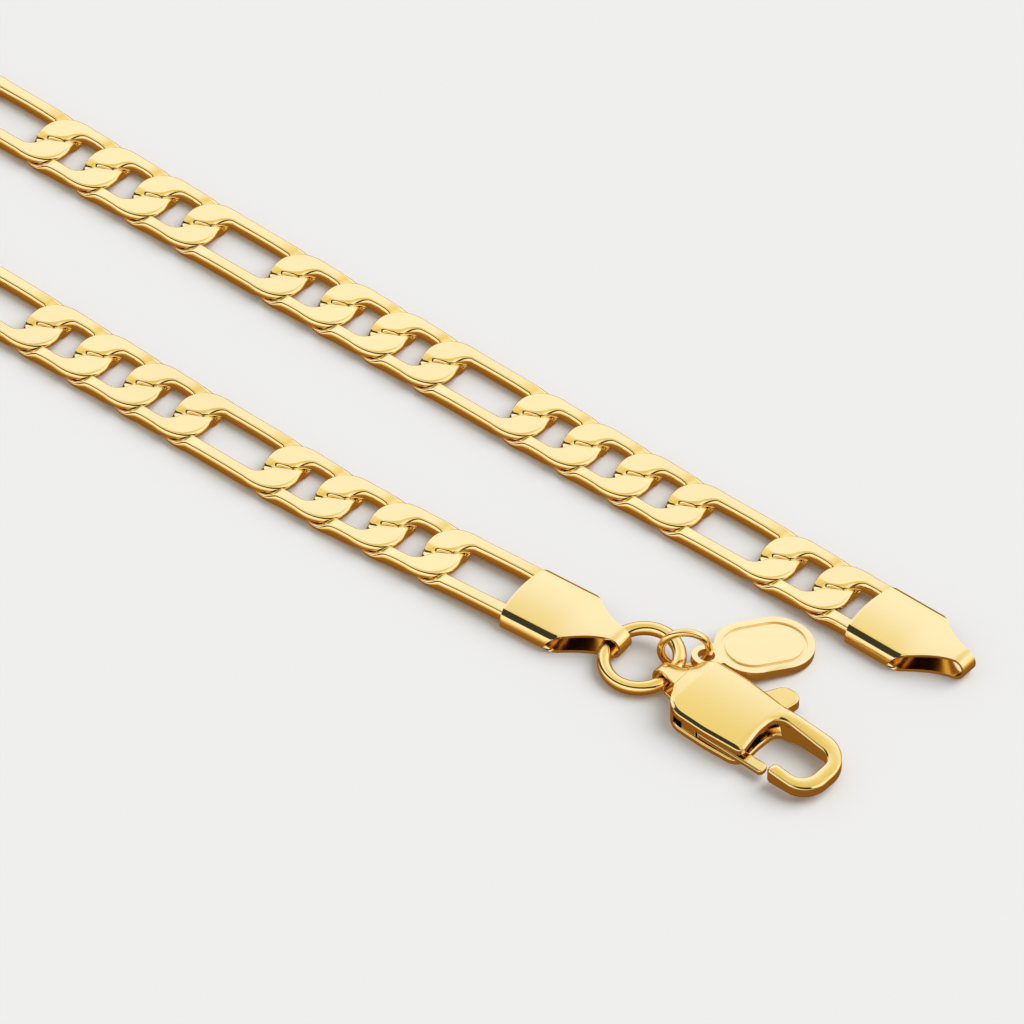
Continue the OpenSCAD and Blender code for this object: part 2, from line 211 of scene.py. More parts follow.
# A quarter of a link, its raised half, from the tip of its end to the middle of its straight side. The
# place is the turn round the end, up to SIDE_START, and then the straight side, up to SIDE_MIDDLE.
# Columns, from the wire's middle line, outwards positive: outer wall, inner wall, outer and inner edge of
# the top flat, drop of the top's outer and inner corner, outer and inner edge of the bottom flat, rise of
# the bottom's outer and inner corner, top, bottom.
SIDE_START = 90
SIDE_MIDDLE = 135
LINK_TABLE = {
    0: (0.60, -0.24, 0.51, 0.14, 0.26, 0.38, 0.44, 0.10, 0.30, 0.38, 0.42, -0.42),
    7: (0.67, -0.48, 0.54, -0.02, 0.30, 0.40, 0.42, -0.20, 0.34, 0.26, 0.48, -0.22),
    10: (0.72, -0.66, 0.57, -0.22, 0.32, 0.40, 0.45, -0.36, 0.20, 0.14, 0.50, -0.08),
    16: (0.82, -0.92, 0.62, -0.50, 0.34, 0.38, 0.50, -0.60, 0.08, 0.06, 0.50, 0.04),
    30: (0.98, -1.16, 0.75, -0.80, 0.36, 0.38, 0.70, -0.84, 0.06, 0.04, 0.50, 0.06),
    46: (1.03, -1.18, 0.78, -0.86, 0.36, 0.38, 0.78, -0.86, 0.06, 0.04, 0.50, 0.06),
    62: (0.90, -0.98, 0.64, -0.68, 0.38, 0.38, 0.62, -0.70, 0.08, 0.08, 0.50, 0.02),
    74: (0.74, -0.78, 0.48, -0.50, 0.42, 0.42, 0.46, -0.50, 0.20, 0.20, 0.50, -0.14),
    84: (0.63, -0.60, 0.39, -0.35, 0.42, 0.42, 0.36, -0.34, 0.36, 0.36, 0.50, -0.38),
    SIDE_START: (0.58, -0.54, 0.35, -0.29, 0.42, 0.42, 0.34, -0.29, 0.42, 0.42, 0.50, -0.45),
    SIDE_MIDDLE: (0.57, -0.51, 0.34, -0.27, 0.43, 0.43, 0.34, -0.27, 0.43, 0.43, 0.50, -0.50),
}
LINK_PLACES = np.array(list(LINK_TABLE), float)
LINK_ROWS = np.array(list(LINK_TABLE.values()))
END_TURNS = (0, 3.5, 6.5, 9, 11, 13, 16, 19, 23, 28, 34, 40, 47, 54, 61, 68, 74, 80, 85, SIDE_START)
SIDE_STEPS = 4
OVERHANG = 10  # how far the raised half's tip passes the middle of the end

# The wire is round, and its flats are cut across it, so each corner is a short arc that ends in a crease.
CORNER_POINTS = 5
CORNER_TURN = math.radians(64)
CREASE = 0.035
corner_turns = np.linspace(0, CORNER_TURN, CORNER_POINTS)
corner_out = (np.cos(corner_turns) - math.cos(CORNER_TURN)) / (1 - math.cos(CORNER_TURN))
corner_up = np.sin(corner_turns) / math.sin(CORNER_TURN)


def link_corner(edge, wall, height, drop):
    """A corner from its wall to the edge of the flat at that height, which it drops from."""
    arc = np.c_[edge + (wall - edge) * corner_out, height - drop * (1 - corner_up)]
    return np.vstack([arc, [edge - math.copysign(CREASE, wall - edge), height]])


def link_profile(place):
    """The points (outwards, up) of the raised half's section at that place."""
    row = [smooth_through(LINK_PLACES, column, place) for column in LINK_ROWS.T]
    outer, inner, top_outer, top_inner, drop_outer, drop_inner = row[:6]
    low_outer, low_inner, rise_outer, rise_inner, top, low = row[6:]
    return np.vstack([
        link_corner(top_outer, outer, top, drop_outer),
        link_corner(top_inner, inner, top, drop_inner)[::-1],
        link_corner(low_inner, inner, low, -rise_inner),
        link_corner(low_outer, outer, low, -rise_outer)[::-1],
    ])


def turned_over(profile):
    return profile[::-1] * (1, -1)


def link_mesh(pitch):
    """Points and faces of one link along X, its middle at the origin."""
    straight = (pitch + WIRE_WIDTH + LINK_PLAY) / 2 - END_REACH
    rail = (LINK_WIDTH - WIRE_WIDTH) / 2
    half = []

    def add(x, y, outwards, profile):
        out_x, out_y = np.array(outwards) / math.hypot(*outwards)
        half.append(np.c_[x + profile[:, 0] * out_x, y + profile[:, 0] * out_y, profile[:, 1]])

    def add_end(way, turn, profile):
        c, s = math.cos(math.radians(turn)), math.sin(math.radians(turn))
        add(way * (straight + END_REACH * c), rail * s, (way * c / END_REACH, s / rail), profile)

    for place in END_TURNS:
        add_end(-1, place * (90 + OVERHANG) / 90 - OVERHANG, link_profile(place))
    for i in range(1, SIDE_STEPS):
        share = i / SIDE_STEPS
        place = SIDE_START + 2 * (SIDE_MIDDLE - SIDE_START) * min(share, 1 - share)
        profile = link_profile(place)
        add((2 * share - 1) * straight, rail, (0, 1), profile if share <= 0.5 else turned_over(profile))
    for place in END_TURNS[:0:-1]:
        add_end(1, place * (90 - OVERHANG) / 90 + OVERHANG, turned_over(link_profile(place)))
    rings = half + [ring * (-1, -1, 1) for ring in half]
    return np.vstack(rings), tube_faces(len(rings), len(rings[0]), closed=True)


def loose_links(node):
    """Middle, axes as rows and length, in metres, of each loose link of a chain's solids."""
    bm = bmesh.new()
    bm.from_mesh(node.data)
    bmesh.ops.remove_doubles(bm, verts=bm.verts, dist=SAME_POINT)
    seen, found = set(), []
    for start in bm.verts:
        if start in seen:
            continue
        seen.add(start)
        link, todo = [], [start]
        while todo:
            vertex = todo.pop()
            link.append(vertex.co[:])
            for edge in vertex.link_edges:
                other = edge.other_vert(vertex)
                if other not in seen:
                    seen.add(other)
                    todo.append(other)
        points = np.array(link)
        middle = points.mean(0)
        along, _, up = np.linalg.svd(points - middle, full_matrices=False)[2]
        up = up * np.sign(up[2])
        found.append((middle, np.array([along, np.cross(up, along), up]), np.ptp((points - middle) @ along)))
    bm.free()
    return found


short_link = link_mesh(SHORT_PITCH)
long_link = link_mesh(LONG_PITCH)
# Half way between the lengths of a short and a long link
split_length = ((SHORT_PITCH + LONG_PITCH) / 2 + 2 * WIRE_WIDTH + LINK_PLAY) * MM
for half in ("chain_free_half", "chain_clasp_half"):
    parts = []
    for middle, axes, length in loose_links(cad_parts[half]):
        points, faces = long_link if length > split_length else short_link
        parts.append((points * MM @ axes + middle, faces))
    links = new_object(half + "_links", *joined(parts), golds["link_gold"])
    # The flats stay flat in the reflections, although every edge is rounded.
    even = links.modifiers.new("even", "WEIGHTED_NORMAL")
    even.mode = "FACE_AREA"
    even.weight = FLAT_WEIGHT
    even.keep_sharp = True
    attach(links, "necklace")
    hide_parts(half)

# End caps: one strip of sheet with a crowned back and bent-down sides, folded over at its narrow end.
# Its own frame has the chain's last joint at the origin and the fold at +X.
CAP_MOUTH = 1.6  # from the joint back to the open end
CAP_BULGE = 0.3  # how far the sides reach back past the middle of the mouth, less towards the fold
CAP_SHOULDER = 1.9  # where the taper starts
CAP_TIP = 6.6
CAP_HALF = 2.75  # half the width
CAP_TIP_HALF = 0.6
CAP_TAPER = 0.7  # under 1, the taper is quick at the shoulder
CAP_TOP = 1.52
CAP_LEAN = 4.0  # how far the clasp strand's cap is turned
FOLD_RISE = 0.9
FOLD_RADIUS = 0.84
LIFT_RUN = 1.0  # the back would rise on past the fold's start by this
LIFT_SCALE = 1.05  # and that much higher, were it not cut at the fold's top
WALL_FADE = 0.5  # the sides end within this of the shoulder
SHEET = 0.2
RIM = 0.05  # rounding of the sheet's edge
RIM_STEPS = 2
RIM_ANGLE = 50
CAP_ROWS = 45
CAP_COLUMNS = 101
FOLD_POINTS = 17
BACK_POINTS = 15
SIDE_POINTS = 9
HAIR = 0.001  # keeps the wall's foot apart from the side's end


def cap_half(x):
    t = min(max((x - CAP_SHOULDER) / (CAP_TIP - CAP_SHOULDER), 0), 1)
    return CAP_TIP_HALF + (CAP_HALF - CAP_TIP_HALF) * (1 + math.cos(math.pi * t**CAP_TAPER)) / 2


def cap_section(crown, facet, facet_drop, side_turns, wall_drop=0):
    """Half a section as (across, drop): crowned back, one flat facet, a round side and perhaps a wall."""
    facet_start, facet_end = facet
    back = [(y, crown * (y / facet_start) ** 2) for y in np.linspace(0, facet_start, BACK_POINTS)]
    first, last = (math.radians(turn) for turn in side_turns)
    radius = (CAP_HALF - facet_end) / (math.cos(last) - math.cos(first))
    side = [
        (
            facet_end + radius * (math.cos(math.radians(turn)) - math.cos(first)),
            facet_drop + radius * (math.sin(first) - math.sin(math.radians(turn))),
        )
        for turn in np.linspace(*side_turns, SIDE_POINTS)
    ]
    wall = [(CAP_HALF + HAIR, wall_drop)] if wall_drop else []
    return np.array(back + side + wall)


CAP_BACK = cap_section(crown=0.12, facet=(2.15, 2.49), facet_drop=0.39, side_turns=(44, 4), wall_drop=1.2)
CAP_UNDER = cap_section(crown=0, facet=(2.30, 2.42), facet_drop=0.02, side_turns=(60, 20))
FACET_POINTS = [BACK_POINTS - 1, BACK_POINTS]  # the section's points where the facet starts and ends
# Between the middle and the edge of the strip: the share of the columns up to the facet's start and end, and
# the share of the arc that they keep within where the strip is narrow
FACET_COLUMNS = (0, 0.6, 0.76, 1)
FACET_LIMITS = np.array([0, 0.94, 0.97, 1])


def cap_rows():
    """The strip's rows, to the fold and back under: x, z, way out, section, share of the way to the fold."""
    fold_x = CAP_TIP - FOLD_RADIUS
    fold_top, fold_low = FOLD_RISE + FOLD_RADIUS, FOLD_RISE - FOLD_RADIUS
    rows = []
    for share in np.linspace(0, 1, CAP_ROWS):
        x = -CAP_MOUTH + share * (fold_x + CAP_MOUTH)
        lift = smooth_step(CAP_SHOULDER, fold_x + LIFT_RUN, x) * (fold_top - CAP_TOP) * LIFT_SCALE
        rows.append((x, min(CAP_TOP + lift, fold_top), (0, 1), CAP_BACK, share))
    for turn in np.linspace(90, -90, FOLD_POINTS)[1:-1]:
        c, s = math.cos(math.radians(turn)), math.sin(math.radians(turn))
        section = CAP_BACK if turn > 0 else CAP_UNDER
        rows.append((fold_x + FOLD_RADIUS * c, FOLD_RISE + FOLD_RADIUS * s, (c, s), section, 1))
    for share in np.linspace(1, 0, CAP_ROWS):
        x = -CAP_MOUTH + share * (fold_x + CAP_MOUTH)
        rows.append((x, smooth_step(CAP_SHOULDER, fold_x, x) * fold_low, (0, -1), CAP_UNDER, share))
    return rows


def cap_mesh():
    """Points and faces of the strip's outer skin."""
    rows, points = cap_rows(), []
    for x, z, (out_x, out_z), section, share in rows:
        across, depth = section.T
        arcs = np.r_[0, np.cumsum(np.hypot(*np.diff(section, axis=0).T))]
        cut = np.interp(min(cap_half(x), across[-1]), across, arcs)
        tapered = smooth_step(CAP_SHOULDER - WALL_FADE, CAP_SHOULDER + WALL_FADE, x)
        end = cut + (arcs[-1] - cut) * (1 - tapered)
        marks = np.minimum([0, *arcs[FACET_POINTS], arcs[-1]], end * FACET_LIMITS)
        for column in np.linspace(-1, 1, CAP_COLUMNS):
            arc = np.interp(abs(column), FACET_COLUMNS, marks)
            y = math.copysign(np.interp(arc, arcs, across), column)
            drop = np.interp(arc, arcs, depth)
            bulge = CAP_BULGE * (y / CAP_HALF) ** 2 * (1 - share)
            points.append((x + bulge - out_x * drop, y, z - out_z * drop))
    faces = []
    for i in range(len(rows) - 1):
        here, there = i * CAP_COLUMNS, (i + 1) * CAP_COLUMNS
        faces += [(here + j, there + j, there + j + 1, here + j + 1) for j in range(CAP_COLUMNS - 1)]
    return np.array(points), faces


def node_points(name):
    """The points of a node's solids."""
    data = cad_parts[name].data
    points = np.empty(len(data.vertices) * 3)
    data.vertices.foreach_get("co", points)
    return points.reshape(-1, 3) / MM


cap_points, cap_faces = cap_mesh()
for name, lean in (("free_end_cap", 0.0), ("clasp_end_cap", CAP_LEAN)):
    straightened = turned(node_points(name), -lean)
    low_corner, high_corner = straightened.min(0), straightened.max(0)
    origin = np.array([low_corner[0] + CAP_MOUTH, (low_corner[1] + high_corner[1]) / 2, 0])
    placed = turned(cap_points + origin, lean) * MM
    cap = new_object(name + "_sheet", placed, cap_faces, golds["cap_gold"])
    sheet = cap.modifiers.new("sheet", "SOLIDIFY")
    sheet.thickness = SHEET * MM
    sheet.offset = -1
    rim = cap.modifiers.new("rim", "BEVEL")
    rim.width = RIM * MM
    rim.segments = RIM_STEPS
    rim.limit_method = "ANGLE"
    rim.angle_limit = math.radians(RIM_ANGLE)
    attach(cap, "necklace")
    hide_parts(name)

# Lobster clasp, in its own frame: X runs from the tail to the hook, Z up from the table.
CLASP_TURN = -1.4
HINGE = (5.6, 0.6)

# Plates with shaped edges
PATH_STEP = 0.11  # longest step along an outline
PATH_MERGE = 0.3  # points closer than this share of a step are one
NEAR_HALF = 0.499  # the share of an outline's side that one corner may take
FACET_TILT = math.radians(60)  # the flat cut along an upper edge, as the height of its normal
ROUND_POINTS = 4
UNDER_ROUND = 0.06  # rounding under an edge
DEEPEST = 0.3  # widest rounding under an edge
UNDER_RINGS = (0.3, 0.6, 1)  # shares of the widest rounding that have a ring of points
RING_CLEAR = 0.985  # a ring's point closer than this share of its inset is left out
GRID = 0.2
GRID_ROW = 0.87  # the grid is of even triangles
GRID_CLEAR = 0.3  # the share of a step between the grid and the last ring
FLAT_MERGE = 1e-5
TINY = 1e-9
SLOPE_STEP = 0.01
BELT_RISE = 0.02  # the wall's foot stands this far over the rounding


def rounded_path(corners):
    """A closed outline through corners (x, y, radius), each rounded by its radius."""
    points = []
    for i, (x, y, radius) in enumerate(corners):
        here = np.array((x, y))
        before = np.array(corners[i - 1][:2]) - here
        after = np.array(corners[(i + 1) % len(corners)][:2]) - here
        room = NEAR_HALF * min(np.hypot(*before), np.hypot(*after))
        before, after = before / np.hypot(*before), after / np.hypot(*after)
        half = math.acos(np.clip(before @ after, -1, 1)) / 2
        reach = min(radius / math.tan(half), room)
        middle = (before + after) / np.hypot(*(before + after))
        centre = here + middle * reach / math.cos(half)
        start, end = here + before * reach - centre, here + after * reach - centre
        sweep = math.atan2(start[0] * end[1] - start[1] * end[0], start @ end)
        count = max(2, int(abs(sweep) * np.hypot(*start) / PATH_STEP) + 2)
        for turn in np.linspace(0, sweep, count):
            c, s = math.cos(turn), math.sin(turn)
            points.append(centre + (start[0] * c - start[1] * s, start[0] * s + start[1] * c))
    path = [points[0]]
    for point in points[1:] + points[:1]:
        way = point - path[-1]
        gap = np.hypot(*way)
        if gap > PATH_STEP * PATH_MERGE:
            path += list(path[-1] + way * np.linspace(0, 1, int(gap / PATH_STEP) + 2)[1:, None])
    return np.array(path[:-1])


def edge_distance(points, outline):
    """Distance of each point from a closed outline, and the outline's nearest place."""
    best = np.full(len(points), np.inf)
    near = np.zeros((len(points), 2))
    for start, way in zip(outline, np.roll(outline, -1, axis=0) - outline):
        t = np.clip((points - start) @ way / (way @ way), 0, 1)
        at = start + t[:, None] * way
        distance = np.hypot(*(points - at).T)
        closer = distance < best
        best[closer], near[closer] = distance[closer], at[closer]
    return best, near


def inside(points, outline):
    """Whether each point is inside a closed outline."""
    odd = np.zeros(len(points), bool)
    for (x0, y0), (x1, y1) in zip(outline, np.roll(outline, -1, axis=0)):
        if y0 != y1:
            crossed = (points[:, 1] > y0) != (points[:, 1] > y1)
            odd ^= crossed & (points[:, 0] < x0 + (points[:, 1] - y0) * (x1 - x0) / (y1 - y0))
    return odd


def edge_steps(round_low, facet, round_high):
    """An upper edge from the wall inwards, as (inset, drop, height of the normal in degrees)."""
    steps = [
        (round_low * (1 - math.cos(turn)), round_low * math.sin(turn), math.degrees(turn))
        for turn in np.linspace(0, FACET_TILT, ROUND_POINTS)
    ]
    inset = steps[-1][0] + facet * math.sin(FACET_TILT)
    height = steps[-1][1] + facet * math.cos(FACET_TILT)
    for turn in np.linspace(FACET_TILT, math.pi / 2, ROUND_POINTS):
        steps.append((
            inset + round_high * (math.cos(FACET_TILT) - math.cos(turn)),
            height + round_high * (math.sin(turn) - math.sin(FACET_TILT)),
            math.degrees(turn),
        ))
    steps = np.array(steps)
    steps[:, 1] = steps[-1, 1] - steps[:, 1]
    return steps


def level(z):
    """A surface at one height."""
    return lambda points: np.full(len(points), z)


def slab_points(outline, inward, edge, scale):
    """The outline, rings of points along it and an even grid within them."""
    rings = [*(edge[1:, :1] * scale), *(np.full(len(outline), DEEPEST * share) for share in UNDER_RINGS)]
    points = [outline]
    for inset in rings:
        ring = outline + inward * inset[:, None]
        points.append(ring[edge_distance(ring, outline)[0] > RING_CLEAR * inset])
    low_corner, high_corner = outline.min(0), outline.max(0)
    xs = np.arange(low_corner[0], high_corner[0], GRID)
    ys = np.arange(low_corner[1], high_corner[1], GRID * GRID_ROW)
    grid = np.array([(x + (j % 2) * GRID / 2, y) for j, y in enumerate(ys) for x in xs])
    grid = grid[inside(grid, outline)]
    points.append(grid[edge_distance(grid, outline)[0] > DEEPEST + GRID_CLEAR * GRID])
    return np.vstack(points)


def slab(outline, top, low, edge, edge_scale=np.ones_like, under=lambda x: np.full_like(x, UNDER_ROUND)):
    """Points, faces and normals of a plate whose upper and lower faces follow top(p) and low(p)."""
    following = np.roll(outline, -1, axis=0)
    if np.sum(outline[:, 0] * following[:, 1] - outline[:, 1] * following[:, 0]) < 0:
        outline = outline[::-1]
    count = len(outline)
    way = np.roll(outline, -1, axis=0) - np.roll(outline, 1, axis=0)
    inward = np.c_[-way[:, 1], way[:, 0]] / np.hypot(*way.T)[:, None]
    points = slab_points(outline, inward, edge, edge_scale(outline[:, 0]))
    loop = [(i, (i + 1) % count) for i in range(count)]
    flat, _, triangles, sources, _, _ = geometry.delaunay_2d_cdt(
        [Vector(point) for point in points], loop, [], 1, FLAT_MERGE
    )
    flat = np.array([tuple(point) for point in flat])
    place = {old: new for new, olds in enumerate(sources) for old in olds}
    rim = [place[i] for i in range(count)]
    distance, near = edge_distance(flat, outline)

    def slope(surface):
        return np.c_[
            (surface(flat + (SLOPE_STEP, 0)) - surface(flat - (SLOPE_STEP, 0))) / (2 * SLOPE_STEP),
            (surface(flat + (0, SLOPE_STEP)) - surface(flat - (0, SLOPE_STEP))) / (2 * SLOPE_STEP),
        ]

    outwards = near - flat
    outwards[rim] = -inward
    outwards = outwards / np.maximum(np.hypot(*outwards.T), TINY)[:, None]

    # Upper face: the surface less the edge's drop, with a normal that leans out towards the edge
    size = edge_scale(near[:, 0])
    drop = np.interp(distance / size, edge[:, 0], edge[:, 1]) * size
    tilt = np.radians(np.interp(distance / size, edge[:, 0], edge[:, 2]))
    upper = np.c_[flat, top(flat) - drop]
    face_up = np.c_[-slope(top), np.ones(len(flat))]
    face_up /= np.linalg.norm(face_up, axis=1)[:, None]
    up = np.c_[outwards * np.cos(tilt)[:, None], np.zeros(len(flat))] + face_up * np.sin(tilt)[:, None]

    # Lower face, rounded up to the wall's foot
    deep = under(near[:, 0])
    turn = np.clip(1 - distance / deep, 0, 1)
    lower = np.c_[flat, low(flat) + deep * (1 - np.sqrt(1 - turn**2))]
    down = np.c_[outwards * turn[:, None], -np.sqrt(1 - turn**2)]

    # Wall, with a belt of points at its foot
    belt = np.c_[outline, low(outline) + under(outline[:, 0]) + BELT_RISE]
    side = np.c_[-inward, np.zeros(count)]
    total = len(flat)
    faces = [tuple(triangle) for triangle in triangles]
    faces += [tuple(total + i for i in triangle[::-1]) for triangle in triangles]
    faces += [(rim[j], rim[i], 2 * total + i, 2 * total + j) for i, j in loop]
    faces += [(2 * total + j, 2 * total + i, total + rim[i], total + rim[j]) for i, j in loop]
    return np.vstack([upper, lower, belt]), faces, np.vstack([up, down, side])


# Clasp body: an upper plate that runs on into the hook, a lower plate, the wall round the tail, a short
# stub of the near wall, and the strap folded round the ring
CLASP_TAIL = 1.3  # where the body's rounded back starts
CLASP_FRONT = 8.3
CLASP_SIDE = 2.5  # half the body's width
CLASP_TOP = 1.95
CLASP_CROWN = 0.13  # drop of its top at the sides
CLASP_LEAN = 0.06  # rise of its upper faces towards the far side
HOOK_END = 13.75
HOOK_LOW = 0.5  # the hook's front end clears the table by this
HOOK_START = 7.6
HOOK_BLEND = 1.4  # the body's crown turns into the hook's round bar over this
TOP_PROFILE = (
    (1.2, 1.88), (2.2, CLASP_TOP), (HOOK_START, CLASP_TOP), (9.2, 1.87), (11.4, 1.67), (HOOK_END, 1.55),
)
BAR_ROUND = 0.09
BAR_EDGE = 0.5  # how far in from its outline the bar is rounded
BAR_DROP = 0.02
NOSE_START = 5  # the body's top drops from here on, by NOSE_DROP after NOSE_RUN
NOSE_RUN = 3
NOSE_DROP = 0.02
SKIRT_END = 8.35
SKIRT_BLEND = 0.2
SKIRT_LOW = 1.4
SKIRT_NEAR = -1
SKIRT_SAG = 0.2  # the skirt hangs lower by this share of the way past SKIRT_NEAR
FOOT_PROFILE = ((8, 0.02), (10, 0.3), (HOOK_END, HOOK_LOW))
LOWER_TOP = 0.42
LOWER_FOOT = ((8, 0.0), (10, 0.25))
WALL_TOP = 1.7
WALL_LOW = 0.2
WALL_START = 2.75  # the inner side of its back
WALL_FAR_SIDE = 1  # it also runs along the far side, past this
WALL_FAR_INSIDE = 1.7
WALL_FAR_END = 4.2
STUB_TOP = 1.5
STUB_LOW = 0.3
STRAP_HALF = 0.475
STRAP_ROOT = 0.75  # half its width where it leaves the body
STRAP_TOP = 1.8
STRAP_SHEET = 0.26
STRAP_OUT = 0.79  # how far the fold reaches back past the frame's origin
STRAP_START = 2.0  # where the strap leaves the body
STRAP_NECK = 1.1  # up to where it widens from the fold
STRAP_EDGE = 0.07  # rounding of its edges
STRAP_STEPS = 13
STRAP_FOLD_POINTS = 21

# Outlines, as corners (x, y, radius)
BACK_CORNERS = [
    (4.8, 2.56, 6), (1.6, 2.52, 1.3), (CLASP_TAIL - 0.05, 0.8, 0.1), (CLASP_TAIL + 0.02, -0.8, 0.1),
    (2.3, -2.52, 2.7), (5.2, -2.6, 8),
]
UPPER_FRONT = [
    (CLASP_FRONT, -2.45, 0.45), (7.98, -0.3, 3), (8.05, 1.32, 0.95), (11.0, 1.16, 3), (12.72, 1.04, 1.7),
    (12.72, -1.7, 0.97), (10.4, -1.62, 0.35), (10.25, -2.48, 0.25), (HOOK_END, -CLASP_SIDE, 2.3),
    (HOOK_END, 2.3, 2.35), (8.3, 2.22, 8),
]
LOWER_FRONT = [
    (8.15, -2.45, 1.0), (7.98, -0.3, 3), (8.05, 1.32, 0.95), (9.2, 1.35, 0.05), (9.2, 2.1, 0.05),
    (8.3, 2.13, 3),
]
STUB_CORNERS = [(3.3, -2.42, 0.1), (4.46, -2.42, 0.02), (4.46, -1.9, 0.02), (3.3, -1.9, 0.1)]
GATE_CORNERS = [
    (4.5, -2.44, 0.35), (9.85, -2.44, 0.2), (9.85, -1.62, 0.35), (7.5, -1.62, 0.3), (7.0, 0.3, 0.6),
    (7.1, 1.6, 0.6), (7.6, 2.5, 0.3), (7.95, 4.15, 0.95), (6.3, 4.1, 0.85), (5.6, 2.9, 0.8), (4.6, 1.9, 0.4),
    (4.2, 0.4, 0.8),
]
# Edges, as the rounding at the wall, the facet and the rounding at the top
UPPER_EDGE = edge_steps(0.16, 0.2, 0.05)
LOWER_EDGE = edge_steps(0.12, 0.04, 0.05)
THIN_EDGE = edge_steps(0.03, 0.0, 0.02)
GATE_EDGE = edge_steps(0.08, 0.09, 0.03)
# The body's edge is small where the strap enters it, and on the hook.
EDGE_SCALE = ((1.35, 0.3), (1.9, 1), (HOOK_START, 1), (9.0, 0.45))
# The lower edge is sharp under the body's skirt and round under the hook.
FOOT_ROUND = ((8.6, UNDER_ROUND), (9.4, DEEPEST))

# Gate: a lever whose top rises towards its thumb piece
GATE_LOW = 0.5
GATE_TOP = 1.04
GATE_LEAN = 0.065


def clasp_top(outline):
    """The upper plate's top: a crowned body and a rounded bar for the hook."""

    def top(points):
        x, y = points.T
        t = np.clip((x - HOOK_START) / HOOK_BLEND, 0, 1)
        hook = t * t * (3 - 2 * t)
        nose = NOSE_DROP * np.clip((x - NOSE_START) / NOSE_RUN, 0, None) ** 2
        body = CLASP_CROWN * (y / CLASP_SIDE) ** 2 + nose
        distance, _ = edge_distance(points, outline)
        bar = BAR_ROUND * np.clip(1 - distance / BAR_EDGE, 0, 1) ** 2
        height = between(x, TOP_PROFILE) + CLASP_LEAN * y
        return height - body * (1 - hook) - (bar + BAR_DROP) * hook

    return top


def clasp_low(points):
    """Under the upper plate over the body, the foot of the spine and the hook in front."""
    x, y = points.T
    front = np.clip((x - SKIRT_END) / SKIRT_BLEND, 0, 1)
    skirt = SKIRT_LOW + SKIRT_SAG * np.clip(y - SKIRT_NEAR, None, 0)
    return skirt * (1 - front) + between(x, FOOT_PROFILE) * front


def upper_plate():
    """The body's top and the hook, in one piece."""
    outline = rounded_path(BACK_CORNERS + UPPER_FRONT)

    def edge_scale(x):
        return between(x, EDGE_SCALE)

    def foot_round(x):
        return between(x, FOOT_ROUND)

    return slab(outline, clasp_top(outline), clasp_low, UPPER_EDGE, edge_scale, foot_round)


def lower_plate(outline):
    """The body's bottom, which runs on under the spine."""
    return slab(outline, level(LOWER_TOP), lambda points: between(points[:, 0], LOWER_FOOT), LOWER_EDGE)


def tail_wall(lower_outline):
    """The wall round the tail: the lower plate's back and far side, with a straight inner side."""
    back = [
        (x, y) for x, y in lower_outline
        if x < WALL_START or (y > WALL_FAR_SIDE and x < WALL_FAR_END)
    ]
    outline = np.array(back + [(WALL_START, WALL_FAR_INSIDE), (WALL_FAR_END, WALL_FAR_INSIDE)])
    return slab(outline, level(WALL_TOP), level(WALL_LOW), THIN_EDGE)


def near_stub():
    """The short fixed stretch of the near wall, between the tail and the gate."""
    return slab(rounded_path(STUB_CORNERS), level(STUB_TOP), level(STUB_LOW), THIN_EDGE)


def gate():
    """The lever: an arm that closes the hook, a boss round the pin and a thumb piece."""
    outline = rounded_path(GATE_CORNERS)
    return slab(outline, lambda points: GATE_TOP + GATE_LEAN * points[:, 1], level(GATE_LOW), GATE_EDGE)


def tail_strap():
    """The strap folded round the ring: a strip with rounded edges along a path."""
    radius = STRAP_TOP / 2
    bend_x = radius - STRAP_OUT
    stations = [(x, STRAP_TOP, 0, 1) for x in np.linspace(STRAP_START, bend_x, STRAP_STEPS + 1)[:-1]]
    for turn in np.linspace(0, math.pi, STRAP_FOLD_POINTS):
        c, s = math.cos(turn), math.sin(turn)
        stations.append((bend_x - radius * s, radius + radius * c, -s, c))
    stations += [(x, 0, 0, -1) for x in np.linspace(bend_x, STRAP_START, STRAP_STEPS + 1)[1:]]

    points, normals = [], []
    rounding = np.linspace(0, math.pi / 2, ROUND_POINTS)
    for x, z, out_x, out_z in stations:
        half = float(np.interp(x, [0, STRAP_NECK, STRAP_START], [STRAP_HALF, STRAP_ROOT, STRAP_ROOT]))
        for side, outer in ((1, True), (-1, True), (-1, False), (1, False)):
            for turn in rounding[::-1] if (side > 0) == outer else rounding:
                inset = STRAP_EDGE * (1 - math.cos(turn))
                depth = inset if outer else STRAP_SHEET - inset
                out = math.cos(turn) if outer else -math.cos(turn)
                y = side * (half - STRAP_EDGE * (1 - math.sin(turn)))
                points.append((x - out_x * depth, y, z - out_z * depth))
                normals.append((out_x * out, side * math.sin(turn), out_z * out))
    sides = 4 * ROUND_POINTS
    faces = tube_faces(len(stations), sides)
    faces += [tuple(range(sides))[::-1], tuple(range(len(points) - sides, len(points)))]
    return np.array(points), faces, np.array(normals)


